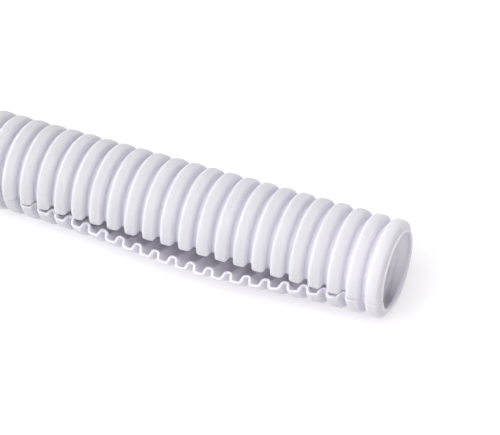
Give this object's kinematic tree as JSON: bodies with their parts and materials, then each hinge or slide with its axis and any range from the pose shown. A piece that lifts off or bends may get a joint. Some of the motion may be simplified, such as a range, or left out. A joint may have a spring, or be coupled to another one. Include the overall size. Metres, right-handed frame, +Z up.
{
  "type": "split corrugated conduit",
  "caption": "Straight length of thin-walled corrugated plastic tube, slit lengthwise, with one lip of the slit bent open near one end where cables leave.",
  "frame": {"origin": "on the floor, under the tube's axis and half way along its length", "axes": "+X along the tube to its near end, which the gape is closer to; -Y out of the slit; +Z up from the floor that the tube lies on"},
  "size_m": [0.306, 0.0242, 0.0212],
  "materials": {
    "conduit": "satin white polyethylene"
  },
  "bodies": {
    "root": {"conduit": "conduit"}
  },
  "joints": []
}
